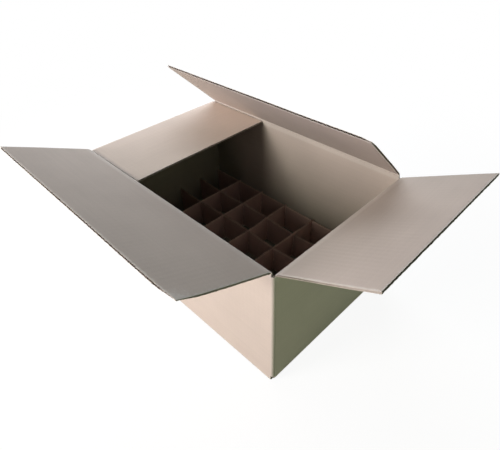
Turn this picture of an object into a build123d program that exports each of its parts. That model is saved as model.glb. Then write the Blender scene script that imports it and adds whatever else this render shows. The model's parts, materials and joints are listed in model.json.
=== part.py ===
from build123d import *
import math
import os

# Bottle shipping box, in millimetres: a regular slotted carton folded from one sheet, with low
# interlocking dividers on its floor. The origin is the centre of the base, on the surface that
# the box stands on. +X runs along the box, +Y across it and +Z is up.

# Carton
box_length = 452.0
box_width = 300.0
crease_height = 238.0  # base to the axis of the long flaps' creases
board = 4.0  # corrugated board
layer_clearance = 0.4  # between a closed long flap and the end flap below it
flap_seam = 1.0  # between two long flaps that meet over the middle
fold_outer_radius = 4.5
fold_inner_radius = 0.5
long_flap_slot = 4.8  # outer corner to the end of a long flap
end_flap_slot = 4.8  # outer corner to the end of an end flap
slot_run = 1.6  # the corner slots reach this far below the end flaps' creases
slot_kerf = 0.4  # beside an end flap, below its crease

# Crushed creases of the flaps that swing
crease_half = 6.0  # axis to where the board has its full thickness
crease_margin = 1.0  # whole board between the wall's plain part and a crushed crease
crease_bead_radius = 0.7
crease_gap = 0.35

# How far each flap stands open at rest, in degrees from level and outward, over the top to closed
front_flap_angle = 24.0
back_flap_angle = 137.0
right_flap_angle = 27.0

# Glued corner tab, inside the front wall at its left end
tab_width = 35.0
tab_thickness = 2.5
tab_end_slope = 8.0
tab_margin = 12.0  # above the floor and below the left crease

# Dividers
divider_board = 3.0
divider_height = 58.0
divider_end_gap = 0.5  # between a divider's end and the wall
notch_clearance = 0.3  # each side of a divider in the notch that it passes through
notch_lead = 1.5  # chamfer at both sides of a notch's mouth
rows_across = 5
cells_along = 6
wall_row_gap = 4.5  # between a long wall and the long divider beside it
left_end_cell = 73.0
right_end_cell = 87.0

end_crease_height = crease_height - board - layer_clearance
inner_length = box_length - 2 * board
inner_width = box_width - 2 * board
floor_height = 2 * board  # the long flaps lie under the end flaps
wall_bottom = floor_height + fold_outer_radius
wall_top = end_crease_height - crease_half - crease_margin
axis_inset = board / 2  # a crease axis lies in the middle of its wall
long_reach = box_width / 2 - flap_seam / 2  # outer face to the seam
flap_depth = long_reach - axis_inset  # crease axis to the free edge
long_flap_span = box_length - 2 * long_flap_slot
end_flap_span = box_width - 2 * end_flap_slot

os.makedirs("parts", exist_ok=True)


def save(piece, name):
    """Label a finished piece and write it as its own STEP file."""
    piece.part.label = name
    export_step(piece.part, f"parts/{name}.step")


def folded_strip(plane, wall_run, reach, span):
    """Board that turns from a wall into a flap, with x along the flap and y along the wall."""
    with BuildSketch(plane) as profile:
        with BuildLine():
            outer = CenterArc((fold_outer_radius, fold_outer_radius), fold_outer_radius, 180, 90)
            inner_centre = board + fold_inner_radius
            inner = CenterArc((inner_centre, inner_centre), fold_inner_radius, 180, 90)
            Polyline(outer @ 1, (reach, 0), (reach, board), inner @ 1)
            Polyline(inner @ 0, (board, wall_run), (0, wall_run), outer @ 0)
        make_face()
    extrude(profile.sketch, amount=span / 2, both=True)


def crease_lip(plane, full_run, span):
    """Top of a wall below a swinging flap: full board, then crushed to a bead on the axis."""
    half = board / 2
    with BuildSketch(plane) as profile:
        with BuildLine():
            Polyline((-half, -full_run), (half, -full_run), (half, -crease_half), (0, 0),
                     (-half, -crease_half), (-half, -full_run))
        make_face()
        Circle(crease_bead_radius)
    extrude(profile.sketch, amount=span / 2, both=True)


def hinged_flap(axis_point, outward, along, angle, span):
    """Flap with a crushed inner edge, swung up by angle from level about its crease axis."""
    swing = math.radians(angle)
    direction = outward * math.cos(swing) + Vector(0, 0, math.sin(swing))
    lip_start = crease_bead_radius + crease_gap
    lip_half = board / 2 * lip_start / crease_half
    with BuildSketch(Plane(origin=axis_point, x_dir=direction, z_dir=along)) as profile:
        with BuildLine():
            Polyline((lip_start, -lip_half), (crease_half, -board / 2), (flap_depth, -board / 2),
                     (flap_depth, board / 2), (crease_half, board / 2), (lip_start, lip_half),
                     (lip_start, -lip_half))
        make_face()
    extrude(profile.sketch, amount=span / 2, both=True)


# The folded sheet: walls, base, the end flap that is folded in, and the glued tab
with BuildPart() as box_body:
    with BuildSketch(Plane.XY.offset(wall_bottom)):
        RectangleRounded(box_length, box_width, fold_outer_radius)
        RectangleRounded(inner_length, inner_width, fold_inner_radius, mode=Mode.SUBTRACT)
    extrude(amount=wall_top - wall_bottom)

    with BuildSketch(Plane.XY.offset(wall_top)):  # the folded corners end at the slots
        RectangleRounded(box_length, box_width, fold_outer_radius)
        RectangleRounded(inner_length, inner_width, fold_inner_radius, mode=Mode.SUBTRACT)
        Rectangle(long_flap_span, box_width, mode=Mode.SUBTRACT)
        Rectangle(box_length, end_flap_span + 2 * slot_kerf, mode=Mode.SUBTRACT)
    extrude(amount=end_crease_height - slot_run - wall_top)

    for side in (-1, 1):
        long_wall = (0, side * box_width / 2, 0)
        folded_strip(Plane(long_wall, x_dir=(0, -side, 0), z_dir=(-side, 0, 0)),
                     wall_bottom, long_reach, long_flap_span)
        end_wall = (side * box_length / 2, 0, board)
        folded_strip(Plane(end_wall, x_dir=(-side, 0, 0), z_dir=(0, side, 0)),
                     wall_bottom - board, long_reach, end_flap_span)
        long_crease = (0, side * (box_width / 2 - axis_inset), crease_height)
        crease_lip(Plane(long_crease, x_dir=(0, 1, 0), z_dir=(1, 0, 0)),
                   crease_height - wall_top, long_flap_span)

    right_crease = (box_length / 2 - axis_inset, 0, end_crease_height)
    crease_lip(Plane(right_crease, x_dir=(1, 0, 0), z_dir=(0, -1, 0)),
               end_crease_height - wall_top, end_flap_span)

    left_fold = (-box_length / 2, 0, end_crease_height + board / 2)
    folded_strip(Plane(left_fold, x_dir=(1, 0, 0), z_dir=(0, 1, 0)),
                 end_crease_height - wall_top + board / 2, flap_depth + axis_inset, end_flap_span)

    tab_low = floor_height + tab_margin
    tab_high = wall_top - tab_margin
    with BuildSketch(Plane.XZ.offset(inner_width / 2)):
        with BuildLine():
            Polyline((-inner_length / 2, tab_low),
                     (-inner_length / 2 + tab_width, tab_low + tab_end_slope),
                     (-inner_length / 2 + tab_width, tab_high - tab_end_slope),
                     (-inner_length / 2, tab_high), (-inner_length / 2, tab_low))
        make_face()
    extrude(amount=-tab_thickness)
save(box_body, "box_body")

# The three flaps that swing
with BuildPart() as front_flap:
    front_axis = Vector(0, -(box_width / 2 - axis_inset), crease_height)
    hinged_flap(front_axis, Vector(0, -1, 0), (1, 0, 0), front_flap_angle, long_flap_span)
save(front_flap, "front_flap")

with BuildPart() as back_flap:
    back_axis = Vector(0, box_width / 2 - axis_inset, crease_height)
    hinged_flap(back_axis, Vector(0, 1, 0), (1, 0, 0), back_flap_angle, long_flap_span)
save(back_flap, "back_flap")

with BuildPart() as right_flap:
    right_axis = Vector(box_length / 2 - axis_inset, 0, end_crease_height)
    hinged_flap(right_axis, Vector(1, 0, 0), (0, 1, 0), right_flap_angle, end_flap_span)
save(right_flap, "right_flap")

# Dividers: the long ones are notched from the top, and the short ones from below, to half height
row_pitch = (inner_width - 2 * wall_row_gap - divider_board) / rows_across
row_places = [(i - rows_across / 2) * row_pitch for i in range(rows_across + 1)]
cell_pitch = (inner_length - left_end_cell - right_end_cell) / (cells_along - 2)
cell_places = [-inner_length / 2 + left_end_cell + i * cell_pitch for i in range(cells_along - 1)]
notch_width = divider_board + 2 * notch_clearance
notch_depth = divider_height / 2
notch_mouth = notch_width + 2 * notch_lead
divider_middle = floor_height + divider_height / 2
mouth_offset = (divider_height - notch_lead) / 2

for number, place in enumerate(row_places, start=1):
    with BuildPart() as long_divider:
        with BuildSketch(Plane.XZ.offset(-place)):
            with Locations((0, divider_middle)):
                Rectangle(inner_length - 2 * divider_end_gap, divider_height)
            with Locations(*[(x, divider_middle + notch_depth / 2) for x in cell_places]):
                Rectangle(notch_width, notch_depth, mode=Mode.SUBTRACT)
            with Locations(*[(x, divider_middle + mouth_offset) for x in cell_places]):
                Trapezoid(notch_mouth, notch_lead, 45, rotation=180, mode=Mode.SUBTRACT)
        extrude(amount=divider_board / 2, both=True)
    save(long_divider, f"long_divider_{number}")

for number, place in enumerate(cell_places, start=1):
    with BuildPart() as short_divider:
        with BuildSketch(Plane.YZ.offset(place)):
            with Locations((0, divider_middle)):
                Rectangle(inner_width - 2 * divider_end_gap, divider_height)
            with Locations(*[(y, divider_middle - notch_depth / 2) for y in row_places]):
                Rectangle(notch_width, notch_depth, mode=Mode.SUBTRACT)
            with Locations(*[(y, divider_middle - mouth_offset) for y in row_places]):
                Trapezoid(notch_mouth, notch_lead, 45, mode=Mode.SUBTRACT)
        extrude(amount=divider_board / 2, both=True)
    save(short_divider, f"short_divider_{number}")
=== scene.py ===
import json
import math
import bpy
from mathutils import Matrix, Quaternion, Vector, noise


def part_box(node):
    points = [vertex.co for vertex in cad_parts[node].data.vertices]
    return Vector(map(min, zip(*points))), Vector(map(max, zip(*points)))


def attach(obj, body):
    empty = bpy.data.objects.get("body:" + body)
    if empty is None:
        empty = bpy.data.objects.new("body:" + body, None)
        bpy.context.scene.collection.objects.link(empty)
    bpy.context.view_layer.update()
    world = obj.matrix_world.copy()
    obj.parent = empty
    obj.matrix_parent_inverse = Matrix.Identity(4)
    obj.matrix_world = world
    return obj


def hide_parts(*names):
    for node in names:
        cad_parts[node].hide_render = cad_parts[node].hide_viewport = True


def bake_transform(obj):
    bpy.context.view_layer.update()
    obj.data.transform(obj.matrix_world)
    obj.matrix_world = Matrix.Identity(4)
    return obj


# Looks of the bottle shipping box: a kraft carton with fluted board and low bottle dividers.
# All sizes are metres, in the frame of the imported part.
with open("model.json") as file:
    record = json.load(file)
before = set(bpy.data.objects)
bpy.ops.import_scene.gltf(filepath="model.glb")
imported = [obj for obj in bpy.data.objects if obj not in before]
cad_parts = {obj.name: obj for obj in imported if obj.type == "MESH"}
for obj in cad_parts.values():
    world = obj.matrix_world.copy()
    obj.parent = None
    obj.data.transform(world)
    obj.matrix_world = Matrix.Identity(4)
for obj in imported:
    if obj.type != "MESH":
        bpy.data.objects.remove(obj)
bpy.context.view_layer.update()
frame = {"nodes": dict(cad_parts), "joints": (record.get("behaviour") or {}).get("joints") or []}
up = Vector((0, 0, 1))
print("frame loaded with", len(frame["nodes"]), "nodes")

# Camera: place, aim and lens found from the carton's corners in the photo
cameraView = {
    "place": (0.46195, -0.41073, 0.60520),
    "aim": (0.13756, -0.10192, 0.23800),
    "rollDeg": 2.03,
    "focalPixels": 422.1,
    "photoWidth": 500,
    "sensorWidth": 36.0,
}


def makeCamera(view):
    data = bpy.data.cameras.new("photoCamera")
    data.sensor_width = view["sensorWidth"]
    data.lens = view["sensorWidth"] * view["focalPixels"] / view["photoWidth"]
    data.clip_start = 0.01
    camera = bpy.data.objects.new("photoCamera", data)
    bpy.context.scene.collection.objects.link(camera)
    camera.location = view["place"]
    look = (Vector(view["aim"]) - camera.location).to_track_quat("-Z", "Y")
    camera.rotation_mode = "QUATERNION"
    camera.rotation_quaternion = look @ Quaternion((0, 0, 1), -math.radians(view["rollDeg"]))
    bpy.context.scene.camera = camera


makeCamera(cameraView)
bpy.context.scene.view_settings.view_transform = "Standard"
print("camera set")


# Shader helpers
def addNode(tree, kind, **settings):
    made = tree.nodes.new(kind)
    for name, value in settings.items():
        setattr(made, name, value)
    return made


def feed(tree, socket, value):
    if isinstance(value, bpy.types.NodeSocket):
        tree.links.new(value, socket)
    else:
        socket.default_value = value


def mathNode(tree, operation, first, second=None):
    made = addNode(tree, "ShaderNodeMath", operation=operation)
    feed(tree, made.inputs[0], first)
    if second is not None:
        feed(tree, made.inputs[1], second)
    return made.outputs[0]


def mixColour(tree, factor, first, second, blend="MIX"):
    made = addNode(tree, "ShaderNodeMix", data_type="RGBA", blend_type=blend)
    feed(tree, made.inputs[0], factor)
    feed(tree, made.inputs[6], first)
    feed(tree, made.inputs[7], second)
    return made.outputs[2]


def noiseNode(tree, vector, scale, detail=3.0, roughness=0.5):
    made = addNode(tree, "ShaderNodeTexNoise")
    feed(tree, made.inputs["Vector"], vector)
    feed(tree, made.inputs["Scale"], scale)
    made.inputs["Detail"].default_value = detail
    made.inputs["Roughness"].default_value = roughness
    return made.outputs["Fac"]


def stretched(tree, vector, factors):
    made = addNode(tree, "ShaderNodeVectorMath", operation="MULTIPLY")
    feed(tree, made.inputs[0], vector)
    made.inputs[1].default_value = factors
    return made.outputs[0]


def rangeNode(tree, value, low, high, newLow=0.0, newHigh=1.0):
    made = addNode(tree, "ShaderNodeMapRange", interpolation_type="SMOOTHSTEP")
    for socket, number in zip(made.inputs, (value, low, high, newLow, newHigh)):
        feed(tree, socket, number)
    return made.outputs[0]


def newGroup(name, inputs, outputs):
    tree = bpy.data.node_groups.new(name, "ShaderNodeTree")
    for label, kind, value in inputs:
        socket = tree.interface.new_socket(label, in_out="INPUT", socket_type=kind)
        if value is not None:
            socket.default_value = value
    for label, kind in outputs:
        tree.interface.new_socket(label, in_out="OUTPUT", socket_type=kind)
    return tree, addNode(tree, "NodeGroupInput").outputs, addNode(tree, "NodeGroupOutput").inputs


# Kraft fibre: cloudy tone, long streaks along the paper web, and short dark and pale fibres
def makeFibreGroup():
    inputs = [("Blank", "NodeSocketVector", None), ("Cloud", "NodeSocketFloat", 0.1),
              ("Streak", "NodeSocketFloat", 0.06), ("Fleck", "NodeSocketFloat", 0.1)]
    outputs = [("Tone", "NodeSocketFloat"), ("Height", "NodeSocketFloat")]
    tree, given, wanted = newGroup("kraftFibre", inputs, outputs)
    blank = given["Blank"]
    cloud = noiseNode(tree, blank, 14.0, 2.0)
    streak = noiseNode(tree, stretched(tree, blank, (6.0, 260.0, 1.0)), 1.0, 4.0, 0.6)
    fleck = noiseNode(tree, stretched(tree, blank, (420.0, 1500.0, 1.0)), 1.0, 5.0, 0.7)
    tone = 1.0
    for amount, pattern in (("Cloud", cloud), ("Streak", streak), ("Fleck", fleck)):
        swing = mathNode(tree, "MULTIPLY", mathNode(tree, "SUBTRACT", pattern, 0.5), given[amount])
        tone = mathNode(tree, "ADD", mathNode(tree, "MULTIPLY", swing, 2.0), tone)
    feed(tree, wanted["Tone"], tone)
    feed(tree, wanted["Height"], mathNode(tree, "ADD", fleck, mathNode(tree, "MULTIPLY", streak, 0.4)))
    return tree


# Flute ripple: the medium's crests show faintly through a liner, one ridge for each flute
def makeRippleGroup():
    inputs = [("Blank", "NodeSocketVector", None), ("Pitch", "NodeSocketFloat", 0.0078)]
    outputs = [("Height", "NodeSocketFloat")]
    tree, given, wanted = newGroup("fluteRipple", inputs, outputs)
    parts = addNode(tree, "ShaderNodeSeparateXYZ")
    feed(tree, parts.inputs[0], given["Blank"])
    along = mathNode(tree, "MULTIPLY", parts.outputs[0], 2 * math.pi)
    wave = mathNode(tree, "COSINE", mathNode(tree, "DIVIDE", along, given["Pitch"]))
    uneven = noiseNode(tree, stretched(tree, given["Blank"], (60.0, 9.0, 1.0)), 1.0, 2.0)
    strength = rangeNode(tree, uneven, 0.3, 0.7, 0.35, 1.0)
    feed(tree, wanted["Height"], mathNode(tree, "MULTIPLY", wave, strength))
    return tree


# Edge wear: scuffed, paler paper along cut edges and creases, broken up by noise
def makeWearGroup():
    inputs = [("Near", "NodeSocketFloat", 0.0), ("Blank", "NodeSocketVector", None),
              ("Breakup", "NodeSocketFloat", 0.5)]
    outputs = [("Mask", "NodeSocketFloat")]
    tree, given, wanted = newGroup("edgeWear", inputs, outputs)
    patches = noiseNode(tree, given["Blank"], 160.0, 4.0, 0.6)
    swing = mathNode(tree, "MULTIPLY", mathNode(tree, "SUBTRACT", patches, 0.5), given["Breakup"])
    level = mathNode(tree, "ADD", given["Near"], mathNode(tree, "MULTIPLY", swing, 2.0))
    atEdge = rangeNode(tree, given["Near"], 0.02, 0.3)
    mask = mathNode(tree, "MULTIPLY", rangeNode(tree, level, 0.25, 0.95), atEdge)
    feed(tree, wanted["Mask"], mask)
    return tree


fibreGroup = makeFibreGroup()
rippleGroup = makeRippleGroup()
wearGroup = makeWearGroup()


def placeGroup(tree, group, **values):
    made = addNode(tree, "ShaderNodeGroup", node_tree=group)
    for name, value in values.items():
        feed(tree, made.inputs[name], value)
    return made.outputs


# Each paper finish: colour, worn colour, tone swings, depth and pitch of the flute ripple in metres,
# how pale its creases are, and roughness. The deep tone is painted shade: it multiplies the colour deep
# inside the carton.
paperFinishes = {
    "outerLiner": {"colour": (0.700, 0.600, 0.530), "worn": (0.78, 0.70, 0.63), "cloud": 0.07,
                   "streak": 0.05, "fleck": 0.10, "ripple": 0.00005, "pitch": 0.0078,
                   "creaseLight": 0.45, "rough": 0.86},
    "innerLiner": {"colour": (0.530, 0.460, 0.408), "worn": (0.63, 0.58, 0.53), "cloud": 0.08,
                   "streak": 0.06, "fleck": 0.12, "ripple": 0.00006, "pitch": 0.0078,
                   "creaseLight": 0.65, "rough": 0.88, "deepTone": (0.48, 0.53, 0.46)},
    "fluting": {"colour": (0.400, 0.345, 0.300), "worn": (0.52, 0.46, 0.41), "cloud": 0.08,
                "streak": 0.05, "fleck": 0.16, "ripple": 0.0, "pitch": 0.0078,
                "creaseLight": 0.2, "rough": 0.92},
    "dividerLiner": {"colour": (0.450, 0.320, 0.275), "worn": (0.60, 0.47, 0.40), "cloud": 0.10,
                     "streak": 0.08, "fleck": 0.14, "ripple": 0.00006, "pitch": 0.0064,
                     "creaseLight": 0.2, "rough": 0.90},
    "dividerFluting": {"colour": (0.300, 0.215, 0.175), "worn": (0.45, 0.34, 0.28), "cloud": 0.08,
                       "streak": 0.05, "fleck": 0.16, "ripple": 0.0, "pitch": 0.0064,
                       "creaseLight": 0.2, "rough": 0.92},
}

# The same for every finish: how ragged the wear is, fibre depth in metres, bump, shine, and how
# far the roughness swings
paperSurface = {"cutBreakup": 0.75, "foldBreakup": 0.15, "fibreDepth": 0.00004, "bump": 0.8,
                "specular": 0.25, "roughSwing": 0.06}


def makePaper(name, finish):
    material = bpy.data.materials.new(name)
    material.use_nodes = True
    tree = material.node_tree
    shader = tree.nodes["Principled BSDF"]
    blank = addNode(tree, "ShaderNodeUVMap", uv_map="blank").outputs[0]
    cut = addNode(tree, "ShaderNodeAttribute", attribute_name="cutNear").outputs["Fac"]
    crease = addNode(tree, "ShaderNodeAttribute", attribute_name="creaseNear").outputs["Fac"]
    fibre = placeGroup(tree, fibreGroup, Blank=blank, Cloud=finish["cloud"],
                       Streak=finish["streak"], Fleck=finish["fleck"])
    ripple = placeGroup(tree, rippleGroup, Blank=blank, Pitch=finish["pitch"])
    worn = placeGroup(tree, wearGroup, Near=cut, Blank=blank, Breakup=paperSurface["cutBreakup"])
    folded = placeGroup(tree, wearGroup, Near=crease, Blank=blank, Breakup=paperSurface["foldBreakup"])
    share = mathNode(tree, "MAXIMUM", worn["Mask"],
                     mathNode(tree, "MULTIPLY", folded["Mask"], finish["creaseLight"]))
    colour = mixColour(tree, share, (*finish["colour"], 1), (*finish["worn"], 1))
    if "deepTone" in finish:  # painted shade: darker towards the bottom of the carton, and a painted shadow under the folded flap
        deep = addNode(tree, "ShaderNodeAttribute", attribute_name="deep").outputs["Fac"]
        colour = mixColour(tree, rangeNode(tree, deep, 0.0, 1.0), colour,
                           (*finish["deepTone"], 1), "MULTIPLY")
    toned = addNode(tree, "ShaderNodeVectorMath", operation="SCALE")
    feed(tree, toned.inputs[0], colour)
    feed(tree, toned.inputs["Scale"], fibre["Tone"])
    feed(tree, shader.inputs["Base Color"], toned.outputs[0])
    swing = paperSurface["roughSwing"]
    feed(tree, shader.inputs["Roughness"],
         rangeNode(tree, fibre["Height"], 0.3, 1.1, finish["rough"] - swing, finish["rough"] + swing))
    shader.inputs["Specular IOR Level"].default_value = paperSurface["specular"]
    fibreRelief = mathNode(tree, "MULTIPLY", fibre["Height"], paperSurface["fibreDepth"])
    rippleRelief = mathNode(tree, "MULTIPLY", ripple["Height"], finish["ripple"])
    bump = addNode(tree, "ShaderNodeBump")
    bump.inputs["Distance"].default_value = 1.0
    bump.inputs["Strength"].default_value = paperSurface["bump"]
    feed(tree, bump.inputs["Height"], mathNode(tree, "ADD", fibreRelief, rippleRelief))
    feed(tree, shader.inputs["Normal"], bump.outputs[0])
    return material


papers = {name: makePaper(name, finish) for name, finish in paperFinishes.items()}
cartonPapers = [papers["outerLiner"], papers["innerLiner"], papers["fluting"]]
dividerPapers = [papers["dividerLiner"], papers["dividerLiner"], papers["dividerFluting"]]
print("papers made:", ", ".join(papers))

# The carton's board and sizes
carton = {
    "half": 0.00195,  # half the board's thickness
    "liner": 0.00032,
    "medium": 0.00028,  # the fluted sheet between the liners
    "pitch": 0.0078,  # from flute to flute
    "foldRadius": 0.0025,  # to the middle of the board
    "baseRun": 0.145,  # from a bottom fold to the flap's free edge
    "longBase": 0.002,  # middle of the long base flaps, and of the end ones above them
    "endBase": 0.006,
    "wallBottom": 0.0125,  # the corner slots end here
    "wallTop": 0.2320,
    "kerfBottom": 0.2266,  # beside an end flap the slots run down to here, this wide
    "kerf": 0.0004,
    "upperRows": (0.2288, 0.2300),  # heights of two more rows below the corners' cut tops
    "flapHalfLong": 0.2212,  # half widths of the long flaps and the end flaps
    "flapHalfEnd": 0.1452,
    "creaseHalf": 0.006,
    "flapDepth": 0.1475,  # crease axis to the free edge
    "pinch": 0.00045,  # a cut edge is pressed thinner by this much on each side
    "pinchReach": 0.0016,
    "fray": 0.0007,
    "foldedTaper": 0.0010,  # the folded end flap is narrower at its free edge
    "wearReach": 0.003,  # how far wear reaches in from a cut edge, and from a fold
    "bendReach": 0.005,
    "stripStep": 0.003,  # between the columns of the narrow strips beside the flaps
    "cornerParts": 6,
}
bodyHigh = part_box("box_body")[1]
hinges = {joint["child"]: joint for joint in frame["joints"]}
creaseLong = hinges["front_flap"]["pos_m"][2]
creaseEnd = hinges["right_flap"]["pos_m"][2]
wallX = hinges["right_flap"]["pos_m"][0]  # middle of the end walls
wallY = -hinges["front_flap"]["pos_m"][1]  # middle of the long walls

# Painted shade inside: the colour is darker below level, and a painted shadow lies under the folded
# flap, left of underTo and below rim, each fading in over its reach
paintedShade = {"level": 0.17, "underTo": -0.13, "underReach": 0.08, "underShare": 0.7, "rim": 0.230,
        "rimReach": 0.02}


# A sheet is the middle surface of a board. Each spot holds its place, the direction to the outer
# liner, half the board's thickness, its place on the flat blank, and how near cuts and creases are.
def newSheet():
    return {"spots": [], "faces": [], "known": {}}


def spot(place, normal, half, blank, cutNear=0.0, creaseNear=0.0):
    # deep is painted shade: darker below level, plus a painted shadow under the folded flap
    below = (paintedShade["level"] - place.z) / paintedShade["level"]
    under = min(max((paintedShade["underTo"] - place.x) / paintedShade["underReach"], 0.0), 1.0)
    rim = min(max((paintedShade["rim"] - place.z) / paintedShade["rimReach"], 0.0), 1.0)
    return {"place": place, "normal": normal, "half": half, "blank": blank, "cutNear": cutNear,
            "creaseNear": creaseNear, "deep": max(below, 0.0) + paintedShade["underShare"] * under * rim}


def addPatch(sheet, columns, rows, spotAt, exists=lambda s, v: True):
    numbers = {}

    def numberOf(i, j):
        if (i, j) not in numbers:
            made = spotAt(columns[i], rows[j])
            key = tuple(round(x * 1e6) for x in made["place"])
            if key not in sheet["known"]:
                sheet["known"][key] = len(sheet["spots"])
                sheet["spots"].append(made)
            numbers[i, j] = sheet["known"][key]
        return numbers[i, j]

    for i in range(len(columns) - 1):
        for j in range(len(rows) - 1):
            if not exists((columns[i] + columns[i + 1]) / 2, (rows[j] + rows[j + 1]) / 2):
                continue
            face = [numberOf(i, j), numberOf(i + 1, j), numberOf(i + 1, j + 1), numberOf(i, j + 1)]
            a, b, c, d = (sheet["spots"][k]["place"] for k in face)
            if (c - a).cross(d - b).dot(sheet["spots"][face[0]]["normal"]) < 0:
                face.reverse()
            sheet["faces"].append(tuple(face))


def newShape():
    return {"verts": [], "faces": [], "slots": [], "blank": [],
            "cutNear": [], "creaseNear": [], "deep": []}


# One paper layer of a board, as a closed thin sheet with rims along its cut edges
def addLayer(shape, sheet, middleOf, thickness, slot):
    first = len(shape["verts"])
    for one in sheet["spots"]:
        middle = middleOf(one)
        for side in (0.5, -0.5):
            shape["verts"].append(one["place"] + one["normal"] * (middle + side * thickness))
            for key in ("blank", "cutNear", "creaseNear", "deep"):
                shape[key].append(one[key])
    rims = {}
    for face in sheet["faces"]:
        outside = [first + 2 * k for k in face]
        shape["faces"].append(outside)
        shape["faces"].append([k + 1 for k in reversed(outside)])
        for a, b in zip(face, face[1:] + face[:1]):
            if (b, a) in rims:
                del rims[b, a]
            else:
                rims[a, b] = True
    for a, b in rims:
        shape["faces"].append([first + 2 * b, first + 2 * a, first + 2 * a + 1, first + 2 * b + 1])
    shape["slots"] += [slot] * (len(shape["faces"]) - len(shape["slots"]))


def finishPiece(name, shape, materials):
    mesh = bpy.data.meshes.new(name)
    mesh.from_pydata(shape["verts"], [], shape["faces"])
    mesh.polygons.foreach_set("material_index", shape["slots"])
    mesh.polygons.foreach_set("use_smooth", [True] * len(mesh.polygons))
    layer = mesh.uv_layers.new(name="blank")
    layer.uv.foreach_set("vector", [x for loop in mesh.loops for x in shape["blank"][loop.vertex_index]])
    for key in ("cutNear", "creaseNear", "deep"):
        mesh.attributes.new(key, "FLOAT", "POINT").data.foreach_set("value", shape[key])
    mesh.set_sharp_from_angle(angle=math.radians(50))
    mesh.validate()
    piece = bpy.data.objects.new(name, mesh)
    bpy.context.scene.collection.objects.link(piece)
    for material in materials:
        mesh.materials.append(material)
    return piece


# The three layers of a board. The sheets cover the same area, the medium's at finer steps along
def addBoard(shape, outerSheet, innerSheet, mediumSheet, board):
    def outer(one):
        return one["half"] - board["liner"] / 2

    def inner(one):
        return board["liner"] / 2 - one["half"]

    def wave(one):
        room = max(one["half"] - board["liner"] - board["medium"] / 2, 0.0)
        return room * math.cos(2 * math.pi * one["blank"][0] / board["pitch"])

    addLayer(shape, outerSheet, outer, board["liner"], 0)
    addLayer(shape, innerSheet, inner, board["liner"], 1)
    addLayer(shape, mediumSheet, wave, board["medium"], 2)


def steps(low, high, step):
    count = max(1, round((high - low) / step))
    return [low + (high - low) * i / count for i in range(count + 1)]


# Places from low to high at about the given step, closer together towards both ends
def edgeSteps(low, high, step, close=(0.0004, 0.0009, 0.0016, 0.0026, 0.0042)):
    inner = steps(low + close[-1], high - close[-1], step)
    return [low] + [low + c for c in close[:-1]] + inner + [high - c for c in close[-2::-1]] + [high]


def merged(*lists):
    places = sorted(x for places in lists for x in places)
    return [x for i, x in enumerate(places) if i == 0 or x - places[i - 1] > 1e-6]


def nearness(gap, reach):
    return math.exp(-(max(gap, 0.0) / reach) ** 2)


def pinched(gap, board):
    return board["half"] - board["pinch"] * nearness(gap, board["pinchReach"])


def roughness(x, y, seed):
    return noise.noise(Vector((x, y, seed)))


# Walls and base: each wall is one panel of the blank, with its base flap and, at the left end,
# the flap that is folded in
fold = carton["foldRadius"]
foldArc = fold * math.pi / 2


def makePanel(middle, out, along, straight, start, flapHalf, base, creaseHeight, foldedIn=False):
    wallStart = base + fold
    endFlap = flapHalf == carton["flapHalfEnd"]
    panel = {"middle": Vector(middle), "out": Vector(out), "along": Vector(along),
             "straight": straight, "start": start, "flapHalf": flapHalf, "base": base,
             "wallStart": wallStart, "low": wallStart - foldArc - carton["baseRun"],
             "foldedIn": foldedIn, "crease": creaseHeight,
             "kerf": carton["kerf"] if endFlap else 0.0,
             "sideCut": carton["kerfBottom"] if endFlap else carton["wallTop"]}
    if foldedIn:
        panel["wallEnd"] = creaseHeight - fold
        panel["high"] = panel["wallEnd"] + foldArc + carton["baseRun"]
    else:
        panel["wallEnd"] = panel["high"] = creaseHeight - carton["creaseHalf"]
    return panel


# s runs along a wall from its middle, and v up the blank: on the wall itself, v is the height.
# Where the middle of the board runs, as outward offset, height and angle from level and outward
def runOf(panel, s, v):
    if abs(s) > panel["flapHalf"] + 1e-6:
        return 0.0, v, math.pi / 2
    baseEnd = panel["wallStart"] - foldArc
    if v < baseEnd:
        return -fold - (baseEnd - v), panel["base"], 0.0
    if v < panel["wallStart"]:
        turn = (v - baseEnd) / fold
        return -fold + fold * math.sin(turn), panel["base"] + fold - fold * math.cos(turn), turn
    if v <= panel["wallEnd"]:
        return 0.0, v, math.pi / 2
    topStart = panel["wallEnd"] + foldArc
    if v < topStart:
        turn = math.pi / 2 + (v - panel["wallEnd"]) / fold
        return (-fold + fold * math.sin(turn),
                panel["crease"] - fold - fold * math.cos(turn), turn)
    return -fold - (v - topStart), panel["crease"], math.pi


# How far a spot is from the nearest cut edge
def cutGap(panel, s, v):
    beyond = abs(s) - panel["flapHalf"]
    if beyond > 1e-6:
        side = beyond - panel["kerf"]
        if v <= panel["sideCut"]:
            side = math.hypot(beyond, panel["sideCut"] - v)
        return max(0.0, min(carton["wallTop"] - v, v - carton["wallBottom"], side))
    ends = [v - panel["low"]]
    if panel["foldedIn"]:
        ends.append(panel["high"] - v)
    above = max(v - panel["sideCut"], carton["wallBottom"] - v)
    return min(*ends, -beyond if above > 0 else math.hypot(beyond, above))


def panelSpot(panel, s, v):
    out, height, angle = runOf(panel, s, v)
    normal = panel["out"] * math.sin(angle) - up * math.cos(angle)
    gap = cutGap(panel, s, v)
    if panel["foldedIn"] and v > panel["wallEnd"] + foldArc:
        done = (v - panel["wallEnd"] - foldArc) / carton["baseRun"]
        s *= 1 - carton["foldedTaper"] / panel["flapHalf"] * done
    place = panel["middle"] + panel["along"] * s + panel["out"] * out + up * height
    baseFold = panel["wallStart"] - foldArc / 2
    if v < baseFold:
        bend = nearness(baseFold - v, carton["bendReach"])
    else:
        topGap = abs(v - panel["wallEnd"] - foldArc / 2) if panel["foldedIn"] else panel["high"] - v
        bend = max(nearness(v - baseFold, carton["bendReach"]), nearness(topGap, carton["bendReach"]))
    return spot(place, normal, pinched(gap, carton), (panel["start"] + s, v),
                nearness(gap, carton["wearReach"]), bend)


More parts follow.
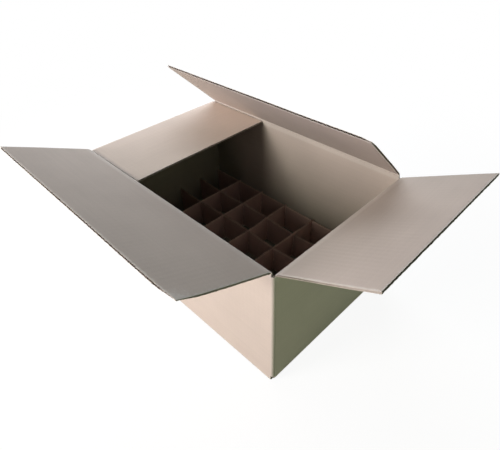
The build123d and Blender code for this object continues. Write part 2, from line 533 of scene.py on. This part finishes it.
def panelExists(panel, s, v):
    beyond = abs(s) - panel["flapHalf"]
    if beyond < 0:
        return v < panel["high"]
    return carton["wallBottom"] < v < (panel["sideCut"] if beyond < panel["kerf"] else carton["wallTop"])


# Heights of the wall's rows, shared by all walls so that they join at the corners
def wallRowsAt(step):
    return merged([carton["wallBottom"] + x for x in (0, 0.0009)],
                  steps(carton["wallBottom"] + 0.0026, carton["kerfBottom"] - 0.002, step),
                  [carton["kerfBottom"], creaseEnd - carton["creaseHalf"], *carton["upperRows"],
                   creaseEnd - fold, carton["wallTop"]])


def panelRows(panel, wallRows, step, turns):
    low = panel["wallStart"] - foldArc
    rows = [panel["low"] + x for x in (0, 0.0009, 0.0026, 0.006)]  # closer at the cut edge
    rows += steps(panel["low"] + 0.012, low, 2 * step)
    rows += steps(low, panel["wallStart"], foldArc / turns) + wallRows
    if panel["foldedIn"]:
        rows += [v for v in steps(panel["wallEnd"], panel["wallEnd"] + foldArc, foldArc / turns)
                 if abs(v - carton["wallTop"]) > 0.0003]
        rows += edgeSteps(panel["wallEnd"] + foldArc, panel["high"], step)
    return merged(rows)


longStraight = wallX - fold
endStraight = wallY - fold
# The glued tab: crushed thinner, inside the front wall. wallBoard is the wall's thickness, and
# frontInset is from the left wall's face to the front wall's cut edge.
tab = {"width": 0.035, "half": 0.0012, "slope": 0.008, "low": 0.020, "high": 0.2146,
       "wallBoard": 0.004, "frontInset": 0.0007}
tabMiddleY = -(bodyHigh.y - tab["wallBoard"] - tab["half"])
leftLow = tabMiddleY + fold  # where the left wall turns into the tab
frontCut = bodyHigh.x - tab["frontInset"]
blankStarts = {}
blankAt = 0.0
for wallName, length in (("left", 2 * endStraight), ("back", 2 * longStraight),
                         ("right", 2 * endStraight), ("front", 2 * longStraight)):
    blankStarts[wallName] = blankAt + length / 2
    blankAt += length + foldArc

panels = {
    "left": makePanel((-wallX, 0, 0), (-1, 0, 0), (0, 1, 0), endStraight, blankStarts["left"],
                      carton["flapHalfEnd"], carton["endBase"], creaseEnd, foldedIn=True),
    "back": makePanel((0, wallY, 0), (0, 1, 0), (1, 0, 0), longStraight, blankStarts["back"],
                      carton["flapHalfLong"], carton["longBase"], creaseLong),
    "right": makePanel((wallX, 0, 0), (1, 0, 0), (0, -1, 0), endStraight, blankStarts["right"],
                       carton["flapHalfEnd"], carton["endBase"], creaseEnd),
    "front": makePanel((0, -wallY, 0), (0, -1, 0), (-1, 0, 0), longStraight, blankStarts["front"],
                       carton["flapHalfLong"], carton["longBase"], creaseLong),
}


def cornerSpot(before, turnShare, v):
    turn = turnShare * math.pi / 2
    out = before["out"] * math.cos(turn) + before["along"] * math.sin(turn)
    centre = before["middle"] + before["along"] * before["straight"] - before["out"] * fold
    gap = min(v - carton["wallBottom"], carton["wallTop"] - v)
    blankU = before["start"] + before["straight"] + turn * fold
    return spot(centre + out * fold + up * v, out, pinched(gap, carton), (blankU, v),
                nearness(gap, carton["wearReach"]), nearness(abs(turnShare - 0.5) * foldArc, 0.004))


def cartonSheet(step, rowStep, turns):
    sheet = newSheet()
    wallRows = wallRowsAt(rowStep)
    cornerColumns = steps(0, 1, 1 / carton["cornerParts"])
    for name, panel in panels.items():
        low = leftLow if name == "left" else -panel["straight"]
        high = frontCut if name == "front" else panel["straight"]
        half = panel["flapHalf"]
        kerf = panel["kerf"]
        columns = merged(steps(low, -half - kerf, carton["stripStep"]), edgeSteps(-half, half, step),
                         steps(half + kerf, high, carton["stripStep"]))
        rows = panelRows(panel, wallRows, rowStep, turns)
        addPatch(sheet, columns, rows, lambda s, v: panelSpot(panel, s, v),
                 lambda s, v: panelExists(panel, s, v))
        if name != "front":
            addPatch(sheet, cornerColumns, wallRows, lambda t, v: cornerSpot(panel, t, v))
    tabRows = merged([tab["low"], tab["high"]], [v for v in wallRows if tab["low"] < v < tab["high"]])
    middle = (tab["low"] + tab["high"]) / 2
    reach = (tab["high"] - tab["low"]) / 2

    def tabFoldSpot(t, v):
        turn = t * math.pi / 2
        out = Vector((-math.cos(turn), -math.sin(turn), 0))
        centre = Vector((-wallX + fold, leftLow, 0))
        half = carton["half"] + (tab["half"] - carton["half"]) * t
        return spot(centre + out * fold + up * v, out, half, (-turn * fold, v), 0.0, 0.5)

    def tabSpot(t, v):
        height = middle + (v - middle) * (1 - tab["slope"] / reach * t / tab["width"])
        place = Vector((-wallX + fold + t, tabMiddleY, height))
        gap = min(tab["width"] - t, tab["high"] - v, v - tab["low"])
        return spot(place, Vector((0, -1, 0)), tab["half"], (-foldArc - t, v),
                    nearness(gap, carton["wearReach"]))

    addPatch(sheet, cornerColumns, tabRows, tabFoldSpot)
    addPatch(sheet, steps(0, tab["width"], step), tabRows, tabSpot)
    return sheet


# Steps along and up, and parts of each fold. The medium is hidden but for its ends, so it needs
# fine steps only along.
cartonMesh = {"liner": (0.011, 0.014, 6), "medium": (carton["pitch"] / 6, 0.10, 4)}
cartonShape = newShape()
linerSheet = cartonSheet(*cartonMesh["liner"])
addBoard(cartonShape, linerSheet, linerSheet, cartonSheet(*cartonMesh["medium"]), carton)
cartonBoard = finishPiece("carton_board", cartonShape, cartonPapers)
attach(cartonBoard, "box")
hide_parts("box_body")
print("carton board made,", 2 * len(cartonBoard.data.polygons), "triangles")

# The flaps that swing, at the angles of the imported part. dents are (along, from the crease,
# reach, push to the inner side, crush), and seed picks the fray and the sag.
flaps = {
    "front_flap": {"angle": 24.0, "panel": "front", "seed": 10, "half": carton["flapHalfLong"],
                   "dents": [(-0.219, 0.1465, 0.019, 0.0024, 0.60)], "sag": 0.0006},
    "back_flap": {"angle": 137.0, "panel": "back", "seed": 20, "half": carton["flapHalfLong"],
                  "dents": [(0.219, 0.1465, 0.010, 0.0006, 0.45)], "sag": 0.0005},
    "right_flap": {"angle": 27.0, "panel": "right", "seed": 30, "half": carton["flapHalfEnd"],
                   "dents": [(-0.143, 0.1465, 0.008, 0.0004, 0.35)], "sag": 0.0004, "taper": 0.0040},
}

# The fray along a flap's edges: noise steps a metre, and how far in from an edge it fades out
flapFray = {"steps": 260, "fineSteps": 900, "endReach": 0.004, "backReach": 0.02, "sideReach": 0.003}
flapWearReach = 0.0028


def flapFrame(name):
    flap = flaps[name]
    panel = panels[flap["panel"]]
    angle = math.radians(flap["angle"])
    direction = panel["out"] * math.cos(angle) + up * math.sin(angle)
    normal = panel["out"] * math.sin(angle) - up * math.cos(angle)
    axis = Vector(hinges[name]["pos_m"])
    return flap, panel, axis, direction, normal


def flapSpot(name, seed, s, v):
    flap, panel, axis, direction, normal = flapFrame(name)
    depth = carton["flapDepth"]
    end, side = depth - v, flap["half"] - abs(s)
    gap = min(end, side)
    coarse = roughness(s * flapFray["steps"], seed, 3.1)
    fine = roughness(s * flapFray["fineSteps"], seed, 7.7)
    endFray = carton["fray"] * (0.55 + 0.9 * coarse + 0.5 * fine)
    sideFray = carton["fray"] * 0.5 * (0.5 + 0.8 * roughness(v * flapFray["steps"], seed, 11.3))
    v -= (max(endFray, 0.0) * nearness(end, flapFray["endReach"])
          + carton["fray"] * 0.5 * nearness(end, flapFray["backReach"]))
    s -= math.copysign(max(sideFray, 0.0) * nearness(side, flapFray["sideReach"]), s)
    s *= 1 - flap.get("taper", 0.0) / flap["half"] * v / depth
    half = pinched(gap, carton)
    worn = nearness(gap, flapWearReach)
    fromCrease = min(1.0, (v - carton["creaseHalf"]) / 0.03)
    push = flap["sag"] * roughness(s * 9, v * 11, seed // 10 + 0.5) * fromCrease
    for along, away, reach, lift, crush in flap["dents"]:
        near = nearness(math.hypot(s - along, v - away), reach)
        half *= 1 - crush * near
        push -= lift * near
        worn = max(worn, near * 0.9)
    place = axis + panel["along"] * s + direction * v + normal * push
    return spot(place, normal, half, (panel["start"] + s, panel["crease"] + v), worn,
                nearness(v - carton["creaseHalf"], 0.004))


# thinHalf is half the thickness at the axis, and blendHalf how far the bend spreads to each side
creaseWay = {"arcRadius": 0.0010, "thinHalf": 0.0005, "blendHalf": 0.0043, "wrinkle": 0.00016}


# Across a crease, d runs from the wall below the axis to the flap beyond it
def creaseSpot(name, seed, s, d):
    flap, panel, axis = flapFrame(name)[:3]
    turn = math.pi / 2 - math.radians(flap["angle"])  # outward
    sign = math.copysign(1.0, turn)
    radius = creaseWay["arcRadius"]
    tangent = radius * math.tan(abs(turn) / 2)
    if abs(d) < tangent:
        done = abs(turn) * (d + tangent) / (2 * tangent)
        out = sign * radius * (1 - math.cos(done))
        height = radius * math.sin(done) - tangent
        angle = math.pi / 2 - sign * done
    elif d < 0:
        out, height, angle = 0.0, d, math.pi / 2
    else:
        angle = math.radians(flap["angle"])
        out, height = d * math.cos(angle), d * math.sin(angle)
    facing = panel["out"] * math.sin(angle) - up * math.cos(angle)
    edge = carton["creaseHalf"]
    slope = (carton["half"] ** 2 - creaseWay["thinHalf"] ** 2) / edge ** 2
    half = math.sqrt(creaseWay["thinHalf"] ** 2 + slope * d * d)
    buckle = creaseWay["wrinkle"] * roughness(s * 170, d * 300, seed + 0.5) * (1 - (d / edge) ** 2)
    side = flap["half"] - abs(s)
    half -= carton["pinch"] * 0.5 * nearness(side, carton["pinchReach"]) * abs(d) / edge
    place = axis + panel["along"] * s + panel["out"] * out + up * height + facing * buckle
    return spot(place, facing, half, (panel["start"] + s, panel["crease"] + d),
                nearness(side, flapWearReach), nearness(max(abs(d) - 0.002, 0.0), carton["bendReach"]))


# Rows of a flap lie a step apart up to lastRow, then at these gaps from the free edge. Rows of a
# crease are given from its axis, and lie fineStep apart up to fineHalf.
flapMesh = {"step": 0.011, "lastRow": 0.14,
            "edgeGaps": (0.006, 0.0042, 0.0026, 0.0016, 0.0009, 0.0004, 0),
            "creaseRows": (0.0012, 0.0018, 0.0026, 0.0036, 0.0048, 0.006),
            "fineHalf": 0.0008, "fineStep": 0.0002, "linerStep": 0.0022, "fluteParts": 10}
edgeCount = len(flapMesh["edgeGaps"])
flapRows = merged(steps(carton["creaseHalf"], flapMesh["lastRow"], flapMesh["step"]),
                  [carton["flapDepth"] - gap for gap in flapMesh["edgeGaps"]])
creaseRows = merged([-d for d in flapMesh["creaseRows"]],
                    steps(-flapMesh["fineHalf"], flapMesh["fineHalf"], flapMesh["fineStep"]),
                    flapMesh["creaseRows"])
mediumRows = merged(flapRows[:-edgeCount:2], flapRows[-edgeCount:])
layerRows = ((flapRows, creaseRows), (flapRows, creaseRows), (mediumRows, creaseRows[::2]))

for flapName, flap in flaps.items():
    half, seed = flap["half"], flap["seed"]
    linerColumns = edgeSteps(-half, half, flapMesh["linerStep"])
    fluteColumns = edgeSteps(-half, half, carton["pitch"] / flapMesh["fluteParts"])
    flapSheets, creaseSheets = [], []
    for layer, columns in enumerate((linerColumns, linerColumns, fluteColumns)):
        rows, folds = layerRows[layer]
        flapSheets.append(newSheet())
        addPatch(flapSheets[-1], columns, rows, lambda s, v: flapSpot(flapName, seed + layer, s, v))
        creaseSheets.append(newSheet())
        addPatch(creaseSheets[-1], columns, folds, lambda s, d: creaseSpot(flapName, seed, s, d))
    flapShape, creaseShape = newShape(), newShape()
    addBoard(flapShape, *flapSheets, carton)
    addBoard(creaseShape, *creaseSheets, carton)
    flapBoard = finishPiece(flapName + "_board", flapShape, cartonPapers)
    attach(flapBoard, flapName)
    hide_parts(flapName)
    creaseStrip = finishPiece(flapName + "_crease", creaseShape, cartonPapers)
    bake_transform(creaseStrip)
    print(flapName, "made,", 2 * len(flapBoard.data.polygons), "triangles")

# Dividers: slotted strips of thinner board, slightly bowed, standing on the base
divider = {
    "half": 0.00145, "liner": 0.00026, "medium": 0.00024, "pitch": 0.0064,
    "pinch": 0.0003, "pinchReach": 0.0014, "notchHalf": 0.0018,
    "lead": 0.0015, "leadReach": 0.004,  # a notch opens by lead at its mouth, over leadReach
    "bow": 0.0024, "bowScale": 8.0, "bowReach": 0.03, "bowAtFoot": 0.35,
    "fray": 0.0004, "wearReach": 0.0022,
    "blankShift": 0.37,  # from one to the next on the paper, so that no two look the same
    "linerStep": 0.006, "fluteParts": 8, "rowStep": 0.012, "footRow": 0.014,
}
longNames = sorted(n for n in frame["nodes"] if n.startswith("long_divider"))
shortNames = sorted(n for n in frame["nodes"] if n.startswith("short_divider"))
rowPlaces = [(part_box(n)[0].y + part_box(n)[1].y) / 2 for n in longNames]
cellPlaces = [(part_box(n)[0].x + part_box(n)[1].x) / 2 for n in shortNames]
dividerLow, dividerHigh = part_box(longNames[0])[0].z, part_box(longNames[0])[1].z
dividerMiddle = (dividerLow + dividerHigh) / 2


# All dividers share one gentle bow, so that they still cross in their notches
def bowed(place, wallGapX, wallGapY):
    foot, reach = divider["bowAtFoot"], divider["bowReach"]
    lift = foot + (1 - foot) * (place.z - dividerLow) / (dividerHigh - dividerLow)
    x, y = place.x * divider["bowScale"], place.y * divider["bowScale"]
    bowX = divider["bow"] * roughness(x, y, 4.3) * min(1.0, wallGapX / reach)
    bowY = divider["bow"] * roughness(x, y, 8.9) * min(1.0, wallGapY / reach)
    return place + Vector((bowX * 2, bowY * 2, 0)) * lift


def dividerPiece(node, along, across, place, crossings, notchAbove, seed):
    low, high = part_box(node)
    reach = max(high.dot(along), -low.dot(along))
    notch = divider["notchHalf"]
    inX, inY = wallX - tab["wallBoard"] / 2, wallY - tab["wallBoard"] / 2  # the walls' inner faces
    mouth = dividerHigh if notchAbove else dividerLow

    def spotAt(s, z):
        crossing = min(crossings, key=lambda c: abs(s - c))
        past = abs(s - crossing) - notch
        if -1e-6 < past < divider["leadReach"]:  # the notch opens out at its mouth
            opening = max(0.0, divider["lead"] - abs(mouth - z)) * (1 - past / divider["leadReach"])
            s += math.copysign(opening, s - crossing)
        notchGap = min(abs(abs(s - c) - notch) for c in crossings)
        inNotchRows = (z > dividerMiddle - 1e-6) == notchAbove
        gap = min(reach - abs(s), dividerHigh - z, z - dividerLow, notchGap if inNotchRows else 1.0)
        flat = along * s + across * place + up * z
        fray = divider["fray"] * max(0.0, 0.5 + roughness(s * 240, seed, 2.2))
        flat.z -= fray * nearness(dividerHigh - z, 0.003)
        settled = bowed(flat, inX - abs(flat.x), inY - abs(flat.y))
        return spot(settled, across, pinched(gap, divider), (s + seed * divider["blankShift"], z),
                    nearness(gap, divider["wearReach"]))

    def exists(s, z):
        return (z > dividerMiddle) != notchAbove or min(abs(s - c) for c in crossings) > notch

    offsets = (notch, notch + 0.0012, notch + divider["leadReach"])
    notchEdges = [c + x * side for c in crossings for x in offsets for side in (-1, 1)]
    rowStep = divider["rowStep"]
    rows = merged([dividerLow + x for x in (0, 0.0008, 0.0015, 0.003)],
                  steps(divider["footRow"], dividerMiddle, rowStep),
                  steps(dividerMiddle, dividerHigh - 0.005, rowStep),
                  [dividerHigh - x for x in (0.003, 0.0015, 0.0007, 0)])
    shape = newShape()
    sheets = []
    for step in (divider["linerStep"], divider["pitch"] / divider["fluteParts"]):
        columns = merged(edgeSteps(-reach, reach, step), notchEdges)
        sheet = newSheet()
        addPatch(sheet, columns, rows, spotAt, exists)
        sheets.append(sheet)
    addBoard(shape, sheets[0], sheets[0], sheets[1], divider)
    piece = finishPiece(node + "_board", shape, dividerPapers)
    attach(piece, "box")
    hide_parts(node)


alongX, alongY = Vector((1, 0, 0)), Vector((0, 1, 0))
for number, node in enumerate(longNames):
    dividerPiece(node, alongX, alongY, rowPlaces[number], cellPlaces, True, number)
for number, node in enumerate(shortNames):
    dividerPiece(node, alongY, alongX, cellPlaces[number], rowPlaces, False, number + 10)
print("dividers made:", len(longNames), "long and", len(shortNames), "short")


# Whether a ray comes from the camera or a mirror, which see the floor and backdrop as white
def lookedAt(tree):
    rays = addNode(tree, "ShaderNodeLightPath").outputs
    mirrored = mathNode(tree, "MAXIMUM", rays["Is Glossy Ray"], rays["Is Transmission Ray"])
    return mathNode(tree, "MAXIMUM", rays["Is Camera Ray"], mirrored)


# Floor: colour is for the light that it throws back. To the eye it is white: glow, and a share of
# lamplight that keeps the shadow, which fades out from fadeFrom to fadeTo. Within darkTo of the
# middle, where only the seam of the base shows it, it is dark.
floorLook = {"size": 16.0, "level": -0.0003, "colour": (0.36, 0.41, 0.32), "glow": 0.92,
             "share": 0.12, "fadeFrom": 0.40, "fadeTo": 1.1, "darkTo": 0.10}


def makeFloor(look):
    half, level = look["size"] / 2, look["level"]
    mesh = bpy.data.meshes.new("floor")
    mesh.from_pydata([(-half, -half, level), (half, -half, level), (half, half, level),
                      (-half, half, level)], [], [(0, 1, 2, 3)])
    floor = bpy.data.objects.new("floor", mesh)
    bpy.context.scene.collection.objects.link(floor)
    material = bpy.data.materials.new("floorPaper")
    material.use_nodes = True
    tree = material.node_tree
    tree.nodes.clear()
    plain = addNode(tree, "ShaderNodeBsdfDiffuse")
    plain.inputs["Color"].default_value = (*look["colour"], 1)
    seen = addNode(tree, "ShaderNodeBsdfDiffuse")
    seen.inputs["Color"].default_value = (look["share"], look["share"], look["share"], 1)
    glow = addNode(tree, "ShaderNodeEmission")
    white = addNode(tree, "ShaderNodeEmission")
    together = addNode(tree, "ShaderNodeAddShader")
    tree.links.new(seen.outputs[0], together.inputs[0])
    tree.links.new(glow.outputs[0], together.inputs[1])
    away = addNode(tree, "ShaderNodeVectorMath", operation="LENGTH")
    tree.links.new(addNode(tree, "ShaderNodeTexCoord").outputs["Object"], away.inputs[0])
    lit = rangeNode(tree, away.outputs["Value"], look["darkTo"], 1.2 * look["darkTo"])
    feed(tree, glow.inputs["Strength"], mathNode(tree, "MULTIPLY", lit, look["glow"]))
    faded = addNode(tree, "ShaderNodeMixShader")
    feed(tree, faded.inputs[0],
         rangeNode(tree, away.outputs["Value"], look["fadeFrom"], look["fadeTo"]))
    tree.links.new(together.outputs[0], faded.inputs[1])
    tree.links.new(white.outputs[0], faded.inputs[2])
    chosen = addNode(tree, "ShaderNodeMixShader")
    feed(tree, chosen.inputs[0], lookedAt(tree))
    tree.links.new(plain.outputs[0], chosen.inputs[1])
    tree.links.new(faded.outputs[0], chosen.inputs[2])
    tree.links.new(chosen.outputs[0], addNode(tree, "ShaderNodeOutputMaterial").inputs["Surface"])
    mesh.materials.append(material)


# World: an even, faint light, behind a white backdrop
worldLook = {"colour": (1.0, 1.0, 1.0), "strength": 0.07}


def makeWorld(look):
    world = bpy.data.worlds.new("studioWorld")
    bpy.context.scene.world = world
    world.use_nodes = True
    tree = world.node_tree
    tree.nodes.clear()
    soft = addNode(tree, "ShaderNodeBackground")
    soft.inputs["Color"].default_value = (*look["colour"], 1)
    soft.inputs["Strength"].default_value = look["strength"]
    white = addNode(tree, "ShaderNodeBackground")
    white.inputs["Color"].default_value = (1, 1, 1, 1)
    chosen = addNode(tree, "ShaderNodeMixShader")
    feed(tree, chosen.inputs[0], lookedAt(tree))
    tree.links.new(soft.outputs[0], chosen.inputs[1])
    tree.links.new(white.outputs[0], chosen.inputs[2])
    tree.links.new(chosen.outputs[0], addNode(tree, "ShaderNodeOutputWorld").inputs["Surface"])


# Soft boxes: from where they stand they face lampAim. power is in watts
lampAim = Vector((0.02, 0, 0.18))
softBoxes = {
    "frontLight": {"place": (-0.43, -1.620, 0.854), "size": 0.7, "power": 23.0,
                   "colour": (1.0, 0.97, 0.85)},
    "lowLight": {"place": (-0.586, -1.666, 0.493), "size": 0.7, "power": 10.0,
                 "colour": (0.90, 0.74, 1.0)},
    "backLight": {"place": (-0.670, 0.579, 0.811), "size": 0.9, "power": 10.8,
                  "colour": (0.87, 0.93, 1.0)},
    "leftLight": {"place": (-1.193, -0.325, 0.516), "size": 0.6, "power": 2.0,
                  "colour": (1.0, 0.74, 0.72)},
    "endLight": {"place": (1.596, 0.0, 0.458), "size": 0.8, "power": 2.4,
                 "colour": (0.73, 1.0, 0.60)},
}


def makeSoftBox(name, look):
    data = bpy.data.lights.new(name, "AREA")
    data.shape = "SQUARE"
    data.size = look["size"]
    data.energy = look["power"]
    data.color = look["colour"]
    lamp = bpy.data.objects.new(name, data)
    bpy.context.scene.collection.objects.link(lamp)
    lamp.location = look["place"]
    lamp.rotation_euler = (lampAim - lamp.location).to_track_quat("-Z", "Y").to_euler()


makeFloor(floorLook)
makeWorld(worldLook)
for boxName, look in softBoxes.items():
    makeSoftBox(boxName, look)
print("floor and lights made")
